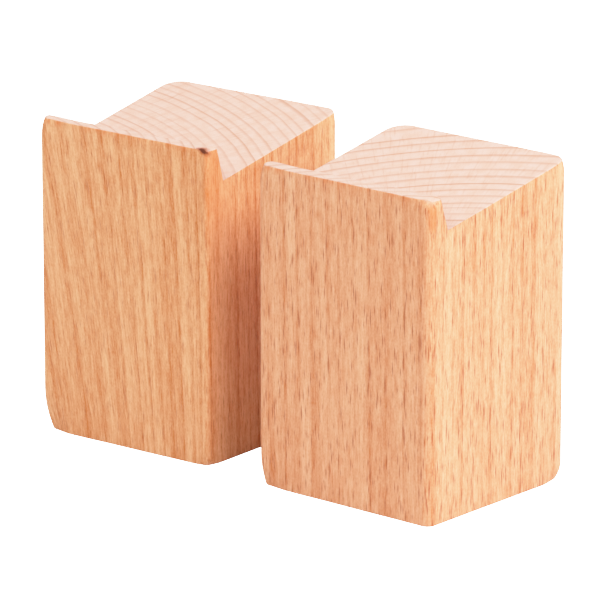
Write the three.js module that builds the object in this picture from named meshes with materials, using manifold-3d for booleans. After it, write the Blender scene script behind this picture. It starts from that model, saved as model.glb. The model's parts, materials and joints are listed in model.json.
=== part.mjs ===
// A pair of solid beech book ends: two free-standing blocks with a lip and a sloping top.
//
// Frame, millimetres: +X runs along the row from the left block to the right one, +Y runs from the
// lip to the back, +Z is up. The origin is the bottom centre of the pair's bounding box.

import * as THREE from 'three';
import { mergeVertices } from 'three/addons/utils/BufferGeometryUtils.js';
import Module from 'manifold-3d';

// One block, measured along its own edges.
const blockWidth = 65;
const blockDepth = 64;
const lipHeight = 97.3;
const lipThickness = 5;
const topSlope = THREE.MathUtils.degToRad(10.6);
const easedEdge = 0.4;

// Height of the back edge, which each crosscut leaves a little different.
const leftBackHeight = 97;
const rightBackHeight = 97.5;

// Rounding of the four upright edges, seen from above.
const frontEdgeRadius = 2;
const backRightEdgeRadius = 4;
const backLeftEdgeRadius = 6;
const lipLeftEdgeRadius = 2.5;
const cornerSegments = 4;

// Where the right block stands: its front edge's middle, seen from the left block's.
const rightBlockAlong = 86.3;
const rightBlockForward = 5.2;
const rightBlockTurn = THREE.MathUtils.degToRad(-2.6);

const wasm = await Module();
wasm.setup();

// Turns a closed geometry into a solid that can be joined and cut.
function toSolid(geometry) {
  const bare = geometry.clone();
  bare.deleteAttribute('normal');
  bare.deleteAttribute('uv');
  const merged = mergeVertices(bare);
  const mesh = new wasm.Mesh({
    numProp: 3,
    vertProperties: new Float32Array(merged.attributes.position.array),
    triVerts: new Uint32Array(merged.index.array),
  });
  return new wasm.Manifold(mesh);
}

// Turns a solid back into a geometry with flat-shaded faces.
function toGeometry(solid) {
  const mesh = solid.getMesh();
  const indexed = new THREE.BufferGeometry();
  indexed.setAttribute('position', new THREE.BufferAttribute(mesh.vertProperties, 3));
  indexed.setIndex(new THREE.BufferAttribute(mesh.triVerts, 1));
  const geometry = indexed.toNonIndexed();
  geometry.computeVertexNormals();
  return geometry;
}

// Extrudes an outline to a full length whose two end edges are eased all round.
function easedPrism(outline, length) {
  return new THREE.ExtrudeGeometry(outline, {
    depth: length - 2 * easedEdge,
    curveSegments: cornerSegments,
    bevelEnabled: true,
    bevelThickness: easedEdge,
    bevelSize: easedEdge,
    bevelOffset: -easedEdge,
    bevelSegments: 1,
  }).translate(0, 0, easedEdge);
}

// The square stock seen from above, with its four upright edges rounded.
function stockOutline() {
  const side = blockWidth / 2;
  const quarter = Math.PI / 2;
  const outline = new THREE.Shape();
  outline.absarc(-side + lipLeftEdgeRadius, lipLeftEdgeRadius, lipLeftEdgeRadius, 2 * quarter, 3 * quarter);
  outline.absarc(side - frontEdgeRadius, frontEdgeRadius, frontEdgeRadius, 3 * quarter, 4 * quarter);
  outline.absarc(
    side - backRightEdgeRadius, blockDepth - backRightEdgeRadius, backRightEdgeRadius, 0, quarter,
  );
  outline.absarc(
    -side + backLeftEdgeRadius, blockDepth - backLeftEdgeRadius, backLeftEdgeRadius, quarter, 2 * quarter,
  );
  outline.closePath();
  return outline;
}

// The block seen from its side: the thin lip, the square notch behind it and the sloping top.
function sideOutline(backHeight) {
  const rise = Math.tan(topSlope);
  const slopeRun = blockDepth - lipThickness;
  const notchDrop = (slopeRun * rise + lipHeight - backHeight) / (1 + rise * rise);
  const notchSetBack = lipThickness + notchDrop * rise;
  const backEase = easedEdge * rise;
  const outline = new THREE.Shape();
  outline.moveTo(0, 0);
  outline.lineTo(blockDepth, 0);
  outline.lineTo(blockDepth, backHeight - easedEdge);
  outline.lineTo(blockDepth - easedEdge, backHeight - backEase);
  outline.lineTo(notchSetBack, lipHeight - notchDrop);
  outline.lineTo(lipThickness + easedEdge * rise, lipHeight - easedEdge);
  outline.lineTo(lipThickness - easedEdge, lipHeight);
  outline.lineTo(easedEdge, lipHeight);
  outline.lineTo(0, lipHeight - easedEdge);
  outline.closePath();
  return outline;
}

// Cuts one block out of the stock. Its own origin is the middle of its front bottom edge.
function bookendBlock(name, backHeight) {
  const stockLength = Math.max(lipHeight, backHeight) + 2;
  const stock = easedPrism(stockOutline(), stockLength);
  const alongWidth = new THREE.Matrix4().makeBasis(
    new THREE.Vector3(0, 1, 0), new THREE.Vector3(0, 0, 1), new THREE.Vector3(1, 0, 0),
  );
  const side = easedPrism(sideOutline(backHeight), blockWidth);
  side.applyMatrix4(alongWidth);
  side.translate(-blockWidth / 2, 0, 0);
  const beech = new THREE.MeshStandardMaterial({ color: 0xe2a978, roughness: 0.55, metalness: 0 });
  const block = new THREE.Mesh(toGeometry(toSolid(stock).intersect(toSolid(side))), beech);
  block.name = name;
  return block;
}

const leftBookend = bookendBlock('left_bookend', leftBackHeight);

const rightBookend = bookendBlock('right_bookend', rightBackHeight);
rightBookend.position.set(rightBlockAlong, -rightBlockForward, 0);
rightBookend.rotation.z = rightBlockTurn;

const pair = new THREE.Group();
pair.add(leftBookend, rightBookend);
pair.updateMatrixWorld(true);
const middle = new THREE.Box3().setFromObject(pair, true).getCenter(new THREE.Vector3());
pair.position.set(-middle.x, -middle.y, 0);

const bookEnds = new THREE.Group();
bookEnds.add(pair);

export default bookEnds;
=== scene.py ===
"""The looks of a pair of beech block book ends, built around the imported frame.

Each block is one piece of solid beech: square stock with rounded upright edges, whose top is cut to
a thin lip, a square notch and a long slope. The blocks are modelled in millimetres in a place of
their own, with the middle of the base at the origin, and are then set where the frame has them.
The beech is a solid pattern: growth rings round a pith outside the block, ray flecks that stand in
radial planes, and fibres along the grain, so that all faces of a block agree with each other.
"""

import json
import logging
import math
from dataclasses import dataclass, field
from enum import Enum
from typing import Any

import bmesh
import bpy
from mathutils import Matrix, Vector, noise


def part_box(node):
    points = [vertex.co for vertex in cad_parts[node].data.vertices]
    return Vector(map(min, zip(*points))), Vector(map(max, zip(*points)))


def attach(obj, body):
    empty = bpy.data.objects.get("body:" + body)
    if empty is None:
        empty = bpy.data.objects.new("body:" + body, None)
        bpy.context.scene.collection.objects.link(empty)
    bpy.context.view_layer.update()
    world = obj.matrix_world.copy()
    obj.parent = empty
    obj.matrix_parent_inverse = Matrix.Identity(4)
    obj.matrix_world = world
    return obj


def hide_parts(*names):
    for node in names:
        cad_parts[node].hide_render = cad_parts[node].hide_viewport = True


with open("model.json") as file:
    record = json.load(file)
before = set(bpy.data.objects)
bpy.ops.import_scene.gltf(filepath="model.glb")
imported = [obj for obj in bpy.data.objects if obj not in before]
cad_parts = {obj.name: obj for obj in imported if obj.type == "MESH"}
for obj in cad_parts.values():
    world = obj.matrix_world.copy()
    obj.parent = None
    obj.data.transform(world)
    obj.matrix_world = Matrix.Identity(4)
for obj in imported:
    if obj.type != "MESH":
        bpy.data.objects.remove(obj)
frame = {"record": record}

Socket = bpy.types.NodeSocket
Term = Socket | float
Colour = tuple[float, float, float, float]
Size = tuple[float, float, float]
Span = tuple[float, float]

LOG = logging.getLogger("book_ends")
# One millimetre in metres.
MM = 0.001
# How near each other two places count as one, in millimetres.
NEAR = 0.01
# The least angle between two faces that makes their edge a sharp one.
SHARP = math.radians(50)
# A height that is under the notch of both blocks, in millimetres.
UNDER_NOTCH = 77.6
# The upward share of a face's normal from which it starts to show end grain, and is all end grain.
END_GRAIN = (0.3, 0.8)
# The colour of the warm light.
WARM = (1.0, 0.99, 0.89)
# Where the Mix node has its factor, its two colours and its result.
MIX_INPUTS = (0, 6, 7)
MIX_OUTPUT = 2


class UprightEdge(Enum):
    """The four upright edges of a block, seen from above with the lip at the front."""

    FRONT_LEFT = (-1, -1)
    FRONT_RIGHT = (1, -1)
    BACK_RIGHT = (1, 1)
    BACK_LEFT = (-1, 1)


class CutEnd(Enum):
    """The two ends of the stock that the saw leaves."""

    BASE = "base"
    TOP = "top"


@dataclass(frozen=True)
class Spot:
    """A place on a block, in millimetres: across it, along its depth and up."""

    x: Term
    y: Term
    z: Term


@dataclass(frozen=True)
class Texture:
    """Smooth noise: the size of what it shows, in millimetres, and how much finer noise is in it."""

    size: Size
    detail: float = 2.0
    roughness: float = 0.5


class Grain(Enum):
    """The textures of beech."""

    FIBRE = Texture((0.62, 0.62, 8.0), roughness=0.55)
    HAIR = Texture((0.45, 0.45, 3.0), detail=1.0)
    SPECKLE = Texture((0.4, 0.4, 0.7), detail=0.0)
    STRIPE = Texture((5.0, 5.0, 120.0), roughness=0.55)
    MEANDER = Texture((14.0, 14.0, 45.0), detail=1.0)
    COLUMN = Texture((1.6, 1.6, 50.0), detail=1.0)
    GROWTH = Texture((7.0, 1.0, 1.0), detail=1.0)
    PATCH = Texture((4.0, 4.0, 1.0))
    RAY = Texture((12.0, 0.7, 1.0), roughness=0.6)
    PORE = Texture((0.4, 0.4, 1.0), roughness=0.6)
    RIM = Texture((1.5, 3.0, 6.0), roughness=0.6)
    RAGGED = Texture((0.6, 0.6, 0.6), roughness=0.6)
    SCRATCH = Texture((0.3, 0.3, 0.9), roughness=0.6)


def linear(red: int, green: int, blue: int) -> Colour:
    """Turns a display colour into scene-linear values.

    Args:
        red: Red, 0 to 255.
        green: Green, 0 to 255.
        blue: Blue, 0 to 255.

    Returns:
        The colour as red, green, blue and an alpha of 1.
    """
    def channel(value: int) -> float:
        """Returns one channel in linear light."""
        share = value / 255
        return share / 12.92 if share <= 0.04045 else ((share + 0.055) / 1.055) ** 2.4

    return channel(red), channel(green), channel(blue), 1.0


def smoothstep(low: float, high: float, value: float) -> float:
    """Rises smoothly from 0 to 1.

    Args:
        low: Where the rise starts.
        high: Where the rise ends.
        value: The place to read.

    Returns:
        The height of the rise at that place.
    """
    share = min(max((value - low) / (high - low), 0.0), 1.0)
    return share * share * (3 - 2 * share)


class Pattern:
    """A node tree that is written down as a row of short calls."""

    def __init__(self, tree: bpy.types.NodeTree) -> None:
        """Starts on an empty tree.

        Args:
            tree: The material's or world's node tree.
        """
        self.tree = tree
        self.tree.nodes.clear()

    def node(self, kind: str, terms: dict[str, Any] | None = None, **settings: Any) -> bpy.types.Node:
        """Adds a node.

        Args:
            kind: The node's type name.
            terms: What feeds its named inputs, each an output socket or a constant.
            **settings: Properties to set on it.

        Returns:
            The node.
        """
        made = self.tree.nodes.new(kind)
        for name, value in settings.items():
            setattr(made, name, value)
        for name, term in (terms or {}).items():
            self.feed(made.inputs[name], term)
        return made

    def feed(self, socket: Socket, value: Any) -> None:
        """Links an output to a socket, or sets the socket to a constant.

        Args:
            socket: The input to feed.
            value: An output socket or a constant.
        """
        if isinstance(value, Socket):
            self.tree.links.new(value, socket)
        else:
            socket.default_value = value

    def joined(self, kind: str, *terms: Any, **settings: Any) -> bpy.types.Node:
        """Adds a node and feeds its inputs in their order.

        Args:
            kind: The node's type name.
            *terms: Output sockets or constants.
            **settings: Properties to set on the node.

        Returns:
            The node.
        """
        made = self.node(kind, **settings)
        for socket, term in zip(made.inputs, terms):
            self.feed(socket, term)
        return made

    def math(self, operation: str, *terms: Term) -> Socket:
        """Does arithmetic on one to three terms.

        Args:
            operation: The Math node's operation.
            *terms: Output sockets or numbers.

        Returns:
            The result.
        """
        return self.joined("ShaderNodeMath", *terms, operation=operation).outputs[0]

    def rise(
        self, value: Socket, low: float, high: float, bottom: float = 0.0, top: float = 1.0,
    ) -> Socket:
        """Maps a range smoothly onto another one.

        Args:
            value: The value to map.
            low: Where the rise starts.
            high: Where the rise ends.
            bottom: The result up to the start.
            top: The result from the end on.

        Returns:
            The mapped value.
        """
        terms = {"Value": value, "From Min": low, "From Max": high, "To Min": bottom, "To Max": top}
        return self.node("ShaderNodeMapRange", terms, interpolation_type="SMOOTHSTEP").outputs[0]

    def scaled(self, spot: Spot, size: Size) -> Socket:
        """Measures a place in features of the given size.

        Args:
            spot: The place.
            size: The feature's size.

        Returns:
            The place as a vector, one unit to a feature.
        """
        parts = (self.math("DIVIDE", place, step) for place, step in zip((spot.x, spot.y, spot.z), size))
        return self.joined("ShaderNodeCombineXYZ", *parts).outputs[0]

    def split(self, vector: Socket) -> tuple[Socket, ...]:
        """Splits a vector.

        Args:
            vector: The vector.

        Returns:
            Its three components.
        """
        return tuple(self.joined("ShaderNodeSeparateXYZ", vector).outputs)

    def texture(self, texture: Texture, spot: Spot) -> Socket:
        """Reads smooth noise.

        Args:
            texture: The kind of noise.
            spot: Where to read it.

        Returns:
            The noise, around 0.5.
        """
        terms = {
            "Vector": self.scaled(spot, texture.size), "Scale": 1.0, "Detail": texture.detail,
            "Roughness": texture.roughness,
        }
        return self.node("ShaderNodeTexNoise", terms, noise_dimensions="3D").outputs["Fac"]

    def dashes(self, spot: Spot, size: Size) -> tuple[Socket, Socket]:
        """Reads scattered spindles.

        Args:
            spot: Where to read them.
            size: The room that each spindle has.

        Returns:
            The distance to the nearest spindle's middle, and that spindle's random number.
        """
        terms = {"Vector": self.scaled(spot, size), "Scale": 1.0, "Randomness": 1.0}
        made = self.node(
            "ShaderNodeTexVoronoi", terms, voronoi_dimensions="3D", feature="F1", distance="MANHATTAN",
        )
        return made.outputs["Distance"], self.split(made.outputs["Color"])[0]

    def random(self, value: Socket) -> Socket:
        """Gives each number a random one of its own.

        Args:
            value: The number.

        Returns:
            A random number from 0 to 1.
        """
        return self.node("ShaderNodeTexWhiteNoise", {"W": value}, noise_dimensions="1D").outputs["Value"]

    def mix(self, share: Socket, first: Any, second: Any) -> Socket:
        """Mixes two colours.

        Args:
            share: How much of the second colour.
            first: The first colour.
            second: The second colour.

        Returns:
            The mixed colour.
        """
        made = self.node("ShaderNodeMix", data_type="RGBA", blend_type="MIX", clamp_factor=True)
        for index, term in zip(MIX_INPUTS, (share, first, second)):
            self.feed(made.inputs[index], term)
        return made.outputs[MIX_OUTPUT]

    def show(self, shader: bpy.types.Node, output: str = "ShaderNodeOutputMaterial") -> None:
        """Sends a shader to the tree's output.

        Args:
            shader: The shader.
            output: The output node's type name.
        """
        self.node(output, {"Surface": shader.outputs[0]})


@dataclass(frozen=True)
class Rings:
    """The growth rings of one block, in millimetres.

    The pith lies beside the block. Away from it the years come per_mm to a millimetre, and slowing
    spreads them. The grain leans across the block, fanning changes that lean from side to side, and
    wander is how far the fibres stray. The late wood's soft band and thin line start at a share of
    each year, and both are darkest at a later one.
    """

    pith: tuple[float, float]
    per_mm: float
    lean: float
    wander: float
    unevenness: float
    slowing: float = 0.0
    fanning: float = 0.0
    band_start: float = 0.5
    line_start: float = 0.6
    darkest: float = 0.93
    faintest: float = 0.4


@dataclass(frozen=True)
class Figure:
    """What the grain shows: how strong its flecks, fibres, bands and rings are."""

    fleck_width: float
    fleck_length: float
    fleck_share: float
    fleck_strength: float
    fibre_strength: float
    band_strength: float
    ring_strength: float
    end_strength: float
    plain_tone: float = 0.36
    hair_share: float = 0.75
    speckle_share: float = 0.4
    late_crowd: float = 0.2
    column_crowd: float = 0.4
    thinning: float = -0.25
    fleck_spread: float = 0.22
    fleck_blur: float = 0.12
    patches: Span = (0.3, 0.7)
    rays: Span = (0.5, 0.75)
    ray_strength: float = 0.3
    pores: Span = (0.5, 0.8)
    pore_strength: float = 0.32


@dataclass(frozen=True)
class BurnishAndShade:
    """A deeper orange: sanding burnish along the lip's rim, and a patch from the lip's end down and back.
    On the right block that patch is sanding burnish; on the left block it is painted shade, because that
    side faces the other block.
    """

    height: float
    reach: float
    strength: float
    outer: Span = (30.4, 32.0)
    front: float = -31.0
    rim: Span = (94.5, 97.0)
    rim_patches: Span = (0.42, 0.66)
    rim_strength: float = 0.6


@dataclass(frozen=True)
class BeechTones:
    """The colours of the oiled sides and of the pale end grain, and the deeper orange that paints burnish
    and shade.
    """

    side_light: Colour = linear(241, 183, 149)
    side_dark: Colour = linear(202, 116, 64)
    fleck: Colour = linear(164, 76, 30)
    end_light: Colour = linear(227, 191, 183)
    end_pink: Colour = linear(223, 182, 170)
    end_ring: Colour = linear(186, 130, 100)
    # Sanding burnish, also used as painted shade on the left block's side near its lip.
    burnish_and_shade: Colour = linear(220, 120, 62)
    knot: Colour = linear(98, 40, 14)


@dataclass(frozen=True)
class Knot:
    """A small dark pin knot whose middle has torn out, in the block's own millimetres."""

    place: Vector
    reach: Size = (2.0, 1.3, 0.7)
    tilt: float = 0.4
    raggedness: float = 0.9
    core: Span = (0.5, 1.1)
    halo: Span = (0.6, 2.2)
    halo_strength: float = 0.8
    chip_reach: Size = (1.3, 1.3, 0.7)
    chip_depth: float = 0.35
    chip_inward: tuple[float, float, float] = (-0.5, 0.8, -0.3)


@dataclass(frozen=True)
class Surface:
    """The fine-sanded, thinly oiled surface: its roughness, its sheen and its relief."""

    roughness: float = 0.38
    fibre_roughness: float = 0.16
    end_roughness: float = 0.18
    sheen: float = 0.35
    fibre_height: float = 0.6
    scratch_height: float = 0.35
    fleck_depth: float = 0.4
    bump_strength: float = 0.35
    bump_height: float = 0.05 * MM


@dataclass(frozen=True)
class Beech:
    """Solid beech as one block of it looks. Its grain leans from the height called top."""

    rings: Rings
    figure: Figure
    burnish_and_shade: BurnishAndShade
    tones: BeechTones = BeechTones()
    surface: Surface = Surface()
    top: float = 91.0

    def material(self, name: str, base: Vector, turn: float, knot: Knot | None) -> bpy.types.Material:
        """Makes the block's material.

        Args:
            name: The material's name.
            base: The middle of the block's base in the frame, in metres.
            turn: How far the block is turned about the upright axis, in radians.
            knot: The block's knot, if it has one.

        Returns:
            The material.
        """
        made = bpy.data.materials.new(name)
        made.use_nodes = True
        BeechPattern(made.node_tree, self, base, turn).draw(knot)
        return made


class BeechPattern(Pattern):
    """The solid pattern of one block of beech."""

    def __init__(self, tree: bpy.types.NodeTree, beech: Beech, base: Vector, turn: float) -> None:
        """Starts on an empty tree with the places that all the rest is drawn from.

        Args:
            tree: The material's node tree.
            beech: The beech.
            base: The middle of the block's base in the frame, in metres.
            turn: How far the block is turned about the upright axis, in radians.
        """
        super().__init__(tree)
        self.beech = beech
        self.spot = self._own_place(base, turn)
        self.fibres = self._flow()

    def draw(self, knot: Knot | None) -> None:
        """Draws the wood and sends it to the output.

        Args:
            knot: The block's knot, if it has one.
        """
        surface, tones = self.beech.surface, self.beech.tones
        radius, along_ring = self._polar()
        band, line = self._late_wood(radius)
        fibre = self.texture(Grain.FIBRE.value, self.fibres)
        flecks = self._flecks(band)
        # Deeper orange near the lip: sanding burnish, and on the left block painted shade from the other
        # block.
        side = self.mix(self._burnished_and_shaded(), self._side_colour(band, flecks, fibre), tones.burnish_and_shade)
        endness = self._endness()
        colour = self.mix(endness, side, self._end_colour(radius, along_ring, line))
        if knot is not None:
            colour = self._knotted(colour, knot)
        gloss = self.math("MULTIPLY_ADD", fibre, surface.fibre_roughness, surface.roughness)
        self.show(self.node("ShaderNodeBsdfPrincipled", {
            "Base Color": colour,
            "Roughness": self.math("MULTIPLY_ADD", endness, surface.end_roughness, gloss),
            "Normal": self._relief(fibre, flecks),
            "Specular IOR Level": surface.sheen,
        }))

    def _own_place(self, base: Vector, turn: float) -> Spot:
        """Gives a point's place in the block's own millimetres.

        Args:
            base: The middle of the base, in metres.
            turn: The block's turn in radians.

        Returns:
            The place.
        """
        mapping = self.node("ShaderNodeMapping", {
            "Vector": self.node("ShaderNodeTexCoord").outputs["Object"],
            "Location": Matrix.Rotation(-turn, 3, "Z") @ (base / -MM),
            "Rotation": (0.0, 0.0, -turn),
            "Scale": (1 / MM, 1 / MM, 1 / MM),
        }, vector_type="POINT")
        return Spot(*self.split(mapping.outputs[0]))

    def _flow(self) -> Spot:
        """Takes the grain's lean and its slow meander out of the place across the block.

        Returns:
            The place as the fibres see it.
        """
        rings, spot = self.beech.rings, self.spot
        from_top = self.math("SUBTRACT", spot.z, self.beech.top)
        lean = self.math("MULTIPLY_ADD", spot.x, rings.fanning, rings.lean)
        leaned = self.math("MULTIPLY_ADD", from_top, lean, spot.x)
        meander = self.texture(Grain.MEANDER.value, spot)
        return Spot(self.math("MULTIPLY_ADD", meander, rings.wander, leaned), spot.y, spot.z)

    def _polar(self) -> tuple[Socket, Socket]:
        """Measures a place from the pith.

        Returns:
            The distance from the pith and the distance along the ring, in millimetres.
        """
        pith = self.beech.rings.pith
        from_x = self.math("SUBTRACT", self.fibres.x, pith[0])
        from_y = self.math("SUBTRACT", self.fibres.y, pith[1])
        squares = (self.math("MULTIPLY", part, part) for part in (from_x, from_y))
        radius = self.math("SQRT", self.math("ADD", *squares))
        angle = self.math("ARCTAN2", from_y, from_x)
        return radius, self.math("MULTIPLY", angle, math.hypot(*pith))

    def _late_wood(self, radius: Socket) -> tuple[Socket, Socket]:
        """Draws the years' dark late wood.

        Args:
            radius: The distance from the pith.

        Returns:
            The soft band that the sides show and the thin line that the end grain shows.
        """
        rings = self.beech.rings
        slope = self.math("MULTIPLY_ADD", radius, -rings.slowing, rings.per_mm)
        uneven = self.texture(Grain.GROWTH.value, Spot(radius, 0.0, 0.0))
        years = self.math("MULTIPLY_ADD", uneven, rings.unevenness, self.math("MULTIPLY", radius, slope))
        season = self.math("FRACT", years)
        chance = self.random(self.math("FLOOR", years))
        vigour = self.math("MULTIPLY_ADD", chance, 1 - rings.faintest, rings.faintest)
        fall = self.math("MULTIPLY", self.rise(season, rings.darkest, 1.0, 1.0, 0.0), vigour)
        band, line = (
            self.math("MULTIPLY", self.rise(season, start, rings.darkest), fall)
            for start in (rings.band_start, rings.line_start)
        )
        return band, line

    def _flecks(self, band: Socket) -> Socket:
        """Scatters the rays' dark ends, thin upright dashes that crowd in the late wood.

        Args:
            band: The late wood's band.

        Returns:
            The flecks' darkness.
        """
        figure = self.beech.figure
        room = (figure.fleck_width, figure.fleck_width, figure.fleck_length)
        gap, chance = self.dashes(self.fibres, room)
        columns = self.texture(Grain.COLUMN.value, self.fibres)
        crowd = self.math("MULTIPLY_ADD", columns, figure.column_crowd, figure.thinning)
        crowd = self.math("MULTIPLY_ADD", band, figure.late_crowd, crowd)
        share = self.math("ADD", crowd, figure.fleck_share)
        size = self.math("MULTIPLY_ADD", chance, figure.fleck_spread, share)
        shade = self.rise(self.math("SUBTRACT", size, gap), 0.0, figure.fleck_blur)
        return self.math("MULTIPLY", shade, figure.fleck_strength)

    def _side_colour(self, band: Socket, flecks: Socket, fibre: Socket) -> Socket:
        """Colours the faces that run along the grain.

        Args:
            band: The late wood's band.
            flecks: The flecks' darkness.
            fibre: Fine streaks along the grain.

        Returns:
            The colour.
        """
        figure, tones = self.beech.figure, self.beech.tones
        tone = self.math("MULTIPLY_ADD", band, figure.ring_strength, figure.plain_tone)
        hair, speckle, stripe = (
            self.texture(kind.value, self.fibres) for kind in (Grain.HAIR, Grain.SPECKLE, Grain.STRIPE)
        )
        for streak, strength in (
            (fibre, figure.fibre_strength),
            (hair, figure.fibre_strength * figure.hair_share),
            (speckle, figure.fibre_strength * figure.speckle_share),
            (stripe, figure.band_strength),
        ):
            tone = self.math("MULTIPLY_ADD", self.math("SUBTRACT", streak, 0.5), strength, tone)
        return self.mix(flecks, self.mix(tone, tones.side_light, tones.side_dark), tones.fleck)

    def _end_colour(self, radius: Socket, along_ring: Socket, line: Socket) -> Socket:
        """Colours the faces that cut across the grain.

        Args:
            radius: The distance from the pith.
            along_ring: The distance along the ring.
            line: The late wood's line.

        Returns:
            The colour.
        """
        figure, tones = self.beech.figure, self.beech.tones
        level = Spot(self.spot.x, self.spot.y, 0.0)
        patches = self.texture(Grain.PATCH.value, level)
        rays = self.texture(Grain.RAY.value, Spot(radius, along_ring, 0.0))
        pores = self.texture(Grain.PORE.value, level)
        colour = self.mix(self.rise(patches, *figure.patches), tones.end_light, tones.end_pink)
        for share in (
            self.math("MULTIPLY", line, figure.end_strength),
            self.rise(rays, *figure.rays, 0.0, figure.ray_strength),
            self.rise(pores, *figure.pores, 0.0, figure.pore_strength),
        ):
            colour = self.mix(share, colour, tones.end_ring)
        return colour

    def _endness(self) -> Socket:
        """Tells end grain from side grain by how far a face leans off the grain.

        Returns:
            1 on end grain and 0 on the sides.
        """
        upward = self.split(self.node("ShaderNodeNewGeometry").outputs["Normal"])[2]
        return self.rise(self.math("ABSOLUTE", upward), *END_GRAIN)

    def _burnished_and_shaded(self) -> Socket:
        """Finds the lip's end and its rim, which are painted a deeper orange in places: sanding burnish on
        the rim and on the right block's lip end, and painted shade down the left block's side that faces
        the other block.

        Returns:
            How much burnish and painted shade the wood has there.
        """
        burnish_and_shade, top, spot = self.beech.burnish_and_shade, self.beech.top, self.spot
        outer = self.rise(spot.x, *burnish_and_shade.outer)
        upper = self.rise(spot.z, top - burnish_and_shade.height, top - burnish_and_shade.height / 3)
        front = self.rise(spot.y, burnish_and_shade.front, burnish_and_shade.front + burnish_and_shade.reach, burnish_and_shade.strength, 0.0)
        # On the left block this mask paints shade down the side that faces the other block.
        end = self.math("MULTIPLY", self.math("MULTIPLY", outer, upper), front)
        patches = self.texture(Grain.RIM.value, spot)
        worn = self.rise(patches, *burnish_and_shade.rim_patches, 0.0, burnish_and_shade.rim_strength)
        return self.math("MAXIMUM", end, self.math("MULTIPLY", self.rise(spot.z, *burnish_and_shade.rim), worn))

    def _knotted(self, colour: Socket, knot: Knot) -> Socket:
        """Adds a knot and the darker wood round it.

        Args:
            colour: The wood's colour without it.
            knot: The knot.

        Returns:
            The colour with it.
        """
        across, deep, high = (
            self.math("SUBTRACT", place, middle)
            for place, middle in zip((self.spot.x, self.spot.y, self.spot.z), knot.place)
        )
        tilted = self.math("MULTIPLY_ADD", across, knot.tilt, high)
        away = self.node("ShaderNodeVectorMath", operation="LENGTH")
        self.feed(away.inputs[0], self.scaled(Spot(across, deep, tilted), knot.reach))
        inside = self.math("SUBTRACT", away.outputs["Value"], knot.raggedness / 2)
        ragged = self.texture(Grain.RAGGED.value, self.spot)
        edge = self.math("MULTIPLY_ADD", ragged, knot.raggedness, inside)
        round_it = self.rise(edge, *knot.halo, knot.halo_strength, 0.0)
        darkened = self.mix(round_it, colour, self.beech.tones.fleck)
        return self.mix(self.rise(edge, *knot.core, 1.0, 0.0), darkened, self.beech.tones.knot)

    def _relief(self, fibre: Socket, flecks: Socket) -> Socket:
        """Raises the fibres a little, sinks the flecks and adds the sander's fine scratches.

        Args:
            fibre: Fine streaks along the grain.
            flecks: The flecks' darkness.

        Returns:
            The shading normal.
        """
        surface = self.beech.surface
        scratches = self.texture(Grain.SCRATCH.value, self.spot)
        raised = self.math("MULTIPLY", scratches, surface.scratch_height)
        raised = self.math("ADD", self.math("MULTIPLY", fibre, surface.fibre_height), raised)
        height = self.math("SUBTRACT", raised, self.math("MULTIPLY", flecks, surface.fleck_depth))
        return self.node("ShaderNodeBump", {
            "Strength": surface.bump_strength, "Distance": surface.bump_height, "Height": height,
        }).outputs[0]


@dataclass(frozen=True)
class Sanding:
    """A corner that the sander took down: an upright edge drawn in towards one cut end."""

    edge: UprightEdge
    end: CutEnd
    depth: float
    height: float
    breadth: float = 12.0
    deep_share: float = 0.6


@dataclass(frozen=True)
class LipEnd:
    """The lip at one end of the block: how thick it is and how high it stands, in millimetres."""

    thickness: float
    height: float


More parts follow.
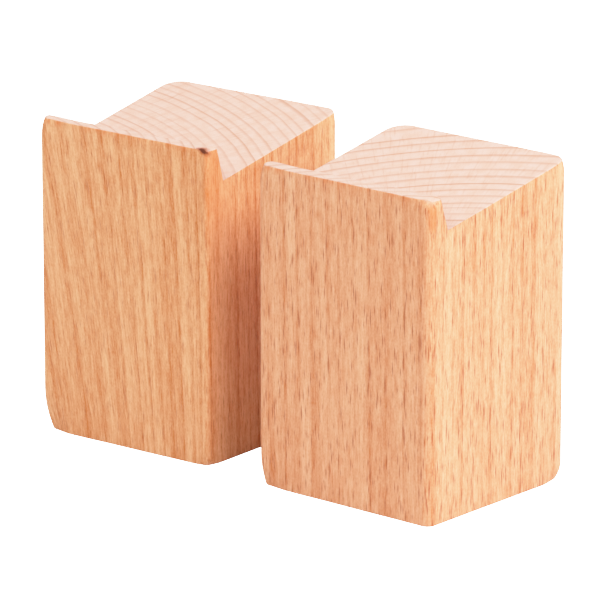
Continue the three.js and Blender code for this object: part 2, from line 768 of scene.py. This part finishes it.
@dataclass
class BookendBlock:
    """One book end: a solid beech block with a lip, a notch and a sloping top."""

    name: str
    body: str
    slot: str
    width: float
    depth: float
    base: Vector
    turn: float
    slope_point: Vector
    slope: float
    beech: Beech
    left_end: LipEnd
    right_end: LipEnd
    sandings: tuple[Sanding, ...]
    front_rounding: float
    knot: Knot | None = None
    front_left_rounding: float = 2.5
    back_right_rounding: float = 4.0
    back_left_rounding: float = 6.0
    rounding_facets: int = 12
    lip_end_rounding: float = 1.0
    lip_end_facets: int = 5
    lip_end_drop: float = 0.3
    lip_end_reach: float = 3.0
    lip_lean: float = 2.9
    lip_wear: float = 0.5
    lip_wear_height: float = 6.0
    lip_wear_reach: float = 2.0
    lip_wear_start: float = 1.0
    rim_wave: float = 0.25
    rim_wave_rate: float = 0.09
    rim_wave_row: float = 3.1
    eased_edge: float = 0.4
    eased_facets: int = 3
    slice_width: float = 1.0
    slice_height: float = 1.6
    sanded_away: float = 0.04
    ripples: tuple[tuple[float, float], ...] = ((0.08, 0.04), (0.45, 0.015))

    def build(self) -> bpy.types.Object:
        """Models and dresses the block.

        Returns:
            The finished piece.
        """
        block = bmesh.new()
        self._cut_outline(block)
        self._round_upright_edges(block)
        self._round_lip_ends(block)
        self._ease_cut_edges(block)
        self._slice(block)
        self._hand_sand(block)
        self._chip(block)
        self._shade(block)
        piece = self._place(block)
        self._dress(piece)
        LOG.info("%s: %d faces", self.name, len(piece.data.polygons))
        return piece

    def _profile(self, end: LipEnd) -> list[tuple[float, float]]:
        """Works out the block's outline from the side.

        Args:
            end: The lip at that end of the block.

        Returns:
            Depth and height of each corner, from the front of the base and round.
        """
        front, back = -self.depth / 2, self.depth / 2
        rise = math.tan(self.slope)
        back_height = self.slope_point.z + (back - self.slope_point.y) * rise
        run = self.depth - end.thickness
        drop = (run * rise + end.height - back_height) / (1 + rise * rise)
        notch = (front + end.thickness + drop * rise, end.height - drop)
        return [
            (front, 0.0), (back, 0.0), (back, back_height), notch,
            (front + end.thickness, end.height), (front, end.height),
        ]

    def _cut_outline(self, block: bmesh.types.BMesh) -> None:
        """Draws the outline of each end and joins the two across the block's width.

        Args:
            block: The mesh to fill.
        """
        outlines = []
        for side, end in ((-1, self.left_end), (1, self.right_end)):
            corners = [
                block.verts.new((side * self.width / 2, deep, high)) for deep, high in self._profile(end)
            ]
            outlines.append(block.faces.new(corners))
        rims = [edge for outline in outlines for edge in outline.edges]
        bmesh.ops.bridge_loops(block, edges=rims)
        bmesh.ops.recalc_face_normals(block, faces=block.faces[:])

    def _round_upright_edges(self, block: bmesh.types.BMesh) -> None:
        """Rounds each upright edge to its own radius.

        Args:
            block: The block's mesh.
        """
        radii = {
            UprightEdge.FRONT_LEFT: self.front_left_rounding,
            UprightEdge.FRONT_RIGHT: self.front_rounding,
            UprightEdge.BACK_RIGHT: self.back_right_rounding,
            UprightEdge.BACK_LEFT: self.back_left_rounding,
        }
        for corner, radius in radii.items():
            at_x, at_y = corner.value[0] * self.width / 2, corner.value[1] * self.depth / 2
            upright = [
                edge for edge in block.edges
                if all(abs(v.co.x - at_x) < NEAR and abs(v.co.y - at_y) < NEAR for v in edge.verts)
            ]
            self._bevel(block, upright, radius, self.rounding_facets)

    def _round_lip_ends(self, block: bmesh.types.BMesh) -> None:
        """Rounds the back edge of each end of the lip, which is worn most.

        Args:
            block: The block's mesh.
        """
        for side, end in ((-1, self.left_end), (1, self.right_end)):
            upright = [
                edge for edge in block.edges
                if all(
                    abs(v.co.x - side * self.width / 2) < NEAR
                    and v.co.z > UNDER_NOTCH
                    and abs(v.co.y + self.depth / 2 - end.thickness) < self.lip_lean
                    for v in edge.verts
                ) and abs(edge.verts[0].co.z - edge.verts[1].co.z) > self.lip_wear_height
            ]
            self._bevel(block, upright, self.lip_end_rounding, self.lip_end_facets)

    def _bevel(
        self, block: bmesh.types.BMesh, edges: list[bmesh.types.BMEdge], radius: float, facets: int,
    ) -> None:
        """Rounds some edges.

        Args:
            block: The block's mesh.
            edges: The edges to round.
            radius: Their radius.
            facets: How many facets make the round.
        """
        bmesh.ops.bevel(
            block, geom=edges, offset=radius, segments=facets, profile=0.5, affect="EDGES",
            material=-1, clamp_overlap=False,
        )

    def _ease_cut_edges(self, block: bmesh.types.BMesh) -> None:
        """Breaks the sharp edges that the saw left round the base and the top.

        Args:
            block: The block's mesh.
        """
        eased = [
            edge for edge in block.edges
            if edge.is_manifold and edge.is_convex and edge.calc_face_angle() > SHARP
        ]
        self._bevel(block, eased, self.eased_edge, self.eased_facets)

    def _slice(self, block: bmesh.types.BMesh) -> None:
        """Cuts the faces into a grid that is fine enough to be shaped by hand.

        Args:
            block: The block's mesh.
        """
        spans = (
            (Vector((1, 0, 0)), -self.width / 2, self.width / 2, self.slice_width),
            (Vector((0, 1, 0)), -self.depth / 2, self.depth / 2, self.slice_width),
            (Vector((0, 0, 1)), 0.0, self.left_end.height, self.slice_height),
        )
        for direction, start, stop, pitch in spans:
            count = round((stop - start) / pitch)
            for index in range(1, count):
                place = start + (stop - start) * index / count
                everything = block.verts[:] + block.edges[:] + block.faces[:]
                bmesh.ops.bisect_plane(
                    block, geom=everything, dist=0.001, plane_co=direction * place, plane_no=direction,
                )

    def _hand_sand(self, block: bmesh.types.BMesh) -> None:
        """Draws the sanded corners in and gives every face the slight unevenness of hand work.

        Args:
            block: The block's mesh.
        """
        middle = Vector((0.0, 0.0, self.left_end.height / 2))
        for vert in block.verts:
            pull = self._lip_pull(vert.co)
            for sanding in self.sandings:
                pull += self._sanding_pull(sanding, vert.co)
            ripple = sum(noise.noise(vert.co * rate) * height for rate, height in self.ripples)
            inward = (middle - vert.co).normalized()
            vert.co += pull + inward * (self.sanded_away + ripple)
            vert.co.z = max(vert.co.z, 0.0)

    def _lip_pull(self, place: Vector) -> Vector:
        """Works out how far the wear of the lip's inner face moves a point towards the front.

        Args:
            place: The point.

        Returns:
            The move.
        """
        from_front = place.y + self.depth / 2
        from_top = self.left_end.height - place.z
        if from_top > self.lip_wear_height or from_front > self.right_end.thickness + self.lip_wear_reach:
            return Vector((0.0, 0.0, 0.0))
        share = 1 - from_top / self.lip_wear_height
        depth = smoothstep(self.lip_wear_start, self.left_end.thickness, from_front)
        wave = 0.5 + 0.5 * noise.noise(Vector((place.x * self.rim_wave_rate, self.rim_wave_row, 0.0)))
        near_end = smoothstep(self.lip_end_reach, 0.0, self.width / 2 - place.x)
        sink = self.rim_wave * wave + self.lip_end_drop * near_end * near_end
        return Vector((0.0, -self.lip_wear * depth, -sink)) * share * share

    def _sanding_pull(self, sanding: Sanding, place: Vector) -> Vector:
        """Works out how far one sanding moves a point.

        Args:
            sanding: The sanded corner.
            place: The point.

        Returns:
            The move.
        """
        side, face = sanding.edge.value
        from_end = place.z if sanding.end is CutEnd.BASE else self.left_end.height - place.z
        if from_end > sanding.height:
            return Vector((0.0, 0.0, 0.0))
        share = min(1 - from_end / sanding.height, 1.0)
        bend = sanding.depth * share * share
        near_x = 1 - smoothstep(0.0, sanding.breadth, self.width / 2 - side * place.x)
        near_y = 1 - smoothstep(0.0, sanding.breadth, self.depth / 2 - face * place.y)
        reach = near_x * near_y
        return Vector((-side * bend * reach, -face * bend * reach * sanding.deep_share, 0.0))

    def _chip(self, block: bmesh.types.BMesh) -> None:
        """Sinks the surface where the pin knot has torn out.

        Args:
            block: The block's mesh.
        """
        if self.knot is None:
            return
        inward = Vector(self.knot.chip_inward).normalized()
        for vert in block.verts:
            away = vert.co - self.knot.place
            gap = Vector(part / reach for part, reach in zip(away, self.knot.chip_reach)).length
            vert.co += inward * self.knot.chip_depth * math.exp(-gap * gap)

    def _shade(self, block: bmesh.types.BMesh) -> None:
        """Shades every face smooth and keeps the bottom of the notch crisp.

        Args:
            block: The block's mesh.
        """
        bmesh.ops.recalc_face_normals(block, faces=block.faces[:])
        for face in block.faces:
            face.smooth = True
        for edge in block.edges:
            edge.smooth = edge.is_manifold and edge.calc_face_angle(0.0) < SHARP

    def _place(self, block: bmesh.types.BMesh) -> bpy.types.Object:
        """Sets the block on its spot in the frame.

        Args:
            block: The block's mesh, which is used up.

        Returns:
            The piece, whose place is in its mesh.
        """
        spot = Matrix.Translation(self.base) @ Matrix.Rotation(self.turn, 4, "Z") @ Matrix.Scale(MM, 4)
        bmesh.ops.transform(block, matrix=spot, verts=block.verts[:])
        mesh = bpy.data.meshes.new(self.name)
        block.to_mesh(mesh)
        block.free()
        piece = bpy.data.objects.new(self.name, mesh)
        bpy.context.scene.collection.objects.link(piece)
        return piece

    def _dress(self, piece: bpy.types.Object) -> None:
        """Gives the block its beech and ties it to the frame.

        Args:
            piece: The block.
        """
        beech = self.beech.material(f"{self.name}_beech", self.base, self.turn, self.knot)
        piece.data.materials.append(beech)
        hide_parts(self.body)
        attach(piece, self.body)


@dataclass(frozen=True)
class Softbox:
    """A square softbox that faces the blocks.

    The azimuth is in degrees from the blocks' right round to their front, the elevation is in
    degrees, the sizes are in metres and the power is in watts.
    """

    name: str
    azimuth: float
    power: float
    colour: tuple[float, float, float] = (1.0, 1.0, 1.0)
    elevation: float = 45.0
    distance: float = 1.6
    size: float = 1.0

    @property
    def place(self) -> Vector:
        """Returns where the softbox hangs, seen from the blocks."""
        around, up = math.radians(self.azimuth), math.radians(self.elevation)
        level = math.cos(up)
        return Vector((math.cos(around) * level, -math.sin(around) * level, math.sin(up))) * self.distance


@dataclass
class Studio:
    """A plain white table, soft light and the camera."""

    target: Vector = field(default_factory=lambda: Vector((1.6, 0.3, 46.0)) * MM)
    distance: float = 1.6372
    azimuth: float = math.radians(37.87)
    elevation: float = math.radians(15.816)
    lens: float = 325.44
    sensor: float = 36.0
    table_size: float = 12.0
    table_drop: float = 0.2 * MM
    table_white: float = 0.8
    glow_white: float = 0.12
    glow: float = 4.0
    surroundings: float = 0.646
    shoulder: float = 4.85
    brightest: float = 3.0
    curve_steps: int = 12
    curve_spread: float = 1.5
    softboxes: tuple[Softbox, ...] = (
        Softbox("key_softbox", azimuth=8.0, power=28.8),
        Softbox("front_softbox", azimuth=125.0, power=6.3, colour=WARM),
    )

    def build(self) -> None:
        """Sets up the table, the lights and the camera."""
        self._sheet("table", self.table_drop, self.table_white, 0.0).visible_camera = False
        glow = self._sheet("table_glow", self.table_drop / 2, self.glow_white, self.glow)
        glow.visible_diffuse = glow.visible_glossy = glow.visible_transmission = glow.visible_shadow = False
        self._surroundings()
        for softbox in self.softboxes:
            self._hang(softbox)
        self._camera()
        self._tone()
        LOG.info("studio: table, surroundings, softboxes and camera")

    def _sheet(self, name: str, drop: float, white: float, glow: float) -> bpy.types.Object:
        """Lays one sheet of the white table.

        Args:
            name: The sheet's name.
            drop: How far it lies under the blocks, in metres.
            white: How white it is.
            glow: How strongly it glows.

        Returns:
            The sheet.
        """
        sheet = bmesh.new()
        bmesh.ops.create_grid(sheet, x_segments=1, y_segments=1, size=self.table_size / 2)
        bmesh.ops.translate(sheet, verts=sheet.verts[:], vec=(0.0, 0.0, -drop))
        mesh = bpy.data.meshes.new(name)
        sheet.to_mesh(mesh)
        sheet.free()
        laid = bpy.data.objects.new(name, mesh)
        bpy.context.scene.collection.objects.link(laid)
        paint = bpy.data.materials.new(f"{name}_white")
        paint.use_nodes = True
        tree = Pattern(paint.node_tree)
        tree.show(tree.node("ShaderNodeBsdfPrincipled", {
            "Base Color": (white, white, white, 1.0),
            "Roughness": 1.0,
            "Specular IOR Level": 0.0,
            "Emission Color": (1.0, 1.0, 1.0, 1.0),
            "Emission Strength": glow,
        }))
        mesh.materials.append(paint)
        return laid

    def _surroundings(self) -> None:
        """Surrounds the table with even, slightly warm light."""
        world = bpy.data.worlds.new("surroundings")
        world.use_nodes = True
        tree = Pattern(world.node_tree)
        even = {"Color": (*WARM, 1.0), "Strength": self.surroundings}
        tree.show(tree.node("ShaderNodeBackground", even), "ShaderNodeOutputWorld")
        bpy.context.scene.world = world

    def _hang(self, softbox: Softbox) -> None:
        """Hangs a softbox and turns it to the blocks.

        Args:
            softbox: The softbox.
        """
        lamp = bpy.data.lights.new(softbox.name, "AREA")
        lamp.shape = "SQUARE"
        lamp.size = softbox.size
        lamp.energy = softbox.power
        lamp.color = softbox.colour
        holder = bpy.data.objects.new(softbox.name, lamp)
        bpy.context.scene.collection.objects.link(holder)
        holder.location = self.target + softbox.place
        holder.rotation_euler = (-softbox.place).to_track_quat("-Z", "Y").to_euler()

    def _tone(self) -> None:
        """Gives the picture a plain rendering whose highlights roll off softly."""
        settings = bpy.context.scene.view_settings
        settings.view_transform = "Standard"
        settings.use_curve_mapping = True
        mapping = settings.curve_mapping
        mapping.white_level = (self.brightest,) * 3
        points = mapping.curves[3].points
        for step in range(1, self.curve_steps):
            share = (step / self.curve_steps) ** self.curve_spread
            points.new(share, self._rolled_off(share * self.brightest))
        points[0].location = (0.0, 0.0)
        points[len(points) - 1].location = (1.0, 1.0)
        mapping.update()

    def _rolled_off(self, light: float) -> float:
        """Returns how bright an amount of light is shown, nearly unchanged up to mid-tones."""
        return light / (1 + light ** self.shoulder) ** (1 / self.shoulder)

    def _camera(self) -> None:
        """Stands the camera where the blocks are seen from their right and a little above."""
        lens = bpy.data.cameras.new("camera")
        lens.lens = self.lens
        lens.sensor_width = self.sensor
        lens.clip_start = 0.01
        lens.clip_end = 100.0
        holder = bpy.data.objects.new("camera", lens)
        bpy.context.scene.collection.objects.link(holder)
        level = math.cos(self.elevation)
        back = Vector((
            math.sin(self.azimuth) * level, -math.cos(self.azimuth) * level, math.sin(self.elevation),
        ))
        holder.location = self.target + back * self.distance
        holder.rotation_euler = (math.radians(90) - self.elevation, 0.0, self.azimuth)
        bpy.context.scene.camera = holder


LEFT_BEECH = Beech(
    rings=Rings(
        pith=(-58.0, -114.0), per_mm=0.3125, lean=0.12, fanning=-0.003, wander=1.6, unevenness=1.2,
    ),
    tones=BeechTones(side_light=linear(242, 184, 143), side_dark=linear(202, 117, 59)),
    figure=Figure(
        fleck_width=0.65, fleck_length=6.5, fleck_share=0.27, fleck_strength=0.45,
        fibre_strength=1.3, band_strength=1.1, ring_strength=0.42, end_strength=0.62,
    ),
    # This block's tall lip's-end mask is painted shade down the side that faces the right block.
    burnish_and_shade=BurnishAndShade(height=30.0, reach=16.0, strength=0.35),
)
RIGHT_BEECH = Beech(
    rings=Rings(
        pith=(58.0, -79.0), per_mm=0.33, slowing=0.00062, lean=0.01, wander=0.6, unevenness=1.0,
    ),
    figure=Figure(
        fleck_width=0.75, fleck_length=7.5, fleck_share=0.32, fleck_strength=0.65,
        fibre_strength=1.1, band_strength=0.8, ring_strength=0.3, end_strength=0.78,
    ),
    burnish_and_shade=BurnishAndShade(height=5.0, reach=3.0, strength=0.6),
)


def mount(name: str) -> tuple[Vector, Vector]:
    """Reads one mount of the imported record.

    Args:
        name: The mount's name.

    Returns:
        Its place in metres and its axis.
    """
    found = next(entry for entry in frame["record"]["mounts"] if entry["name"] == name)
    return Vector(found["pos_m"]), Vector(found["axis"])


def bookend(side: str, inward: int, **details: Any) -> BookendBlock:
    """Sets up one block from the frame, whose left block stands square and so tells the stock's size.

    Args:
        side: left or right.
        inward: 1 where the books stand on the block's +X side, -1 on its -X side.
        **details: What sets this block apart from the other one.

    Returns:
        The block, ready to build.
    """
    low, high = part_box("left_bookend")
    base, _ = mount(f"{side}_base")
    _, facing = mount(f"{side}_book_face")
    slope_place, slope_axis = mount(f"{side}_slope")
    turn = math.atan2(facing.y * inward, facing.x * inward)
    upright = Matrix.Rotation(-turn, 3, "Z")
    return BookendBlock(
        name=f"{side}_block",
        body=f"{side}_bookend",
        slot=f"beech_{side}",
        width=(high[0] - low[0]) / MM,
        depth=(high[1] - low[1]) / MM,
        base=base,
        turn=turn,
        slope_point=upright @ (slope_place - base) / MM,
        slope=math.atan2(math.hypot(slope_axis.x, slope_axis.y), slope_axis.z),
        **details,
    )


def main() -> None:
    """Builds the studio and both blocks."""
    logging.basicConfig(level=logging.INFO, format="%(name)s: %(message)s")
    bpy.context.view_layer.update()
    Studio().build()
    left = bookend(
        "left", 1, beech=LEFT_BEECH, left_end=LipEnd(4.2, 97.5), right_end=LipEnd(5.4, 97.0),
        sandings=(
            Sanding(UprightEdge.FRONT_LEFT, CutEnd.BASE, depth=2.3, height=13.0),
            Sanding(UprightEdge.FRONT_LEFT, CutEnd.TOP, depth=1.0, height=6.0),
            Sanding(UprightEdge.FRONT_RIGHT, CutEnd.TOP, depth=0.5, height=2.5, breadth=8.0),
            Sanding(UprightEdge.FRONT_RIGHT, CutEnd.BASE, depth=1.0, height=4.0, breadth=6.0),
            Sanding(UprightEdge.BACK_RIGHT, CutEnd.TOP, depth=0.7, height=5.0),
        ),
        knot=Knot(Vector((30.4, -31.5, 96.5))),
        front_rounding=1.3,
    )
    right = bookend(
        "right", -1, beech=RIGHT_BEECH, left_end=LipEnd(4.9, 97.3), right_end=LipEnd(5.9, 97.0),
        sandings=(
            Sanding(UprightEdge.FRONT_LEFT, CutEnd.BASE, depth=1.4, height=10.0),
            Sanding(UprightEdge.FRONT_LEFT, CutEnd.TOP, depth=1.1, height=5.0),
            Sanding(UprightEdge.FRONT_RIGHT, CutEnd.TOP, depth=1.5, height=5.0, breadth=9.0),
            Sanding(UprightEdge.BACK_RIGHT, CutEnd.TOP, depth=0.8, height=4.0),
            Sanding(UprightEdge.BACK_RIGHT, CutEnd.BASE, depth=1.6, height=5.0),
        ),
        front_rounding=2.7,
        lip_end_rounding=1.7,
        lip_end_drop=0.5,
        lip_wear=0.1,
    )
    left.build()
    right.build()


if __name__ == "__main__":
    main()
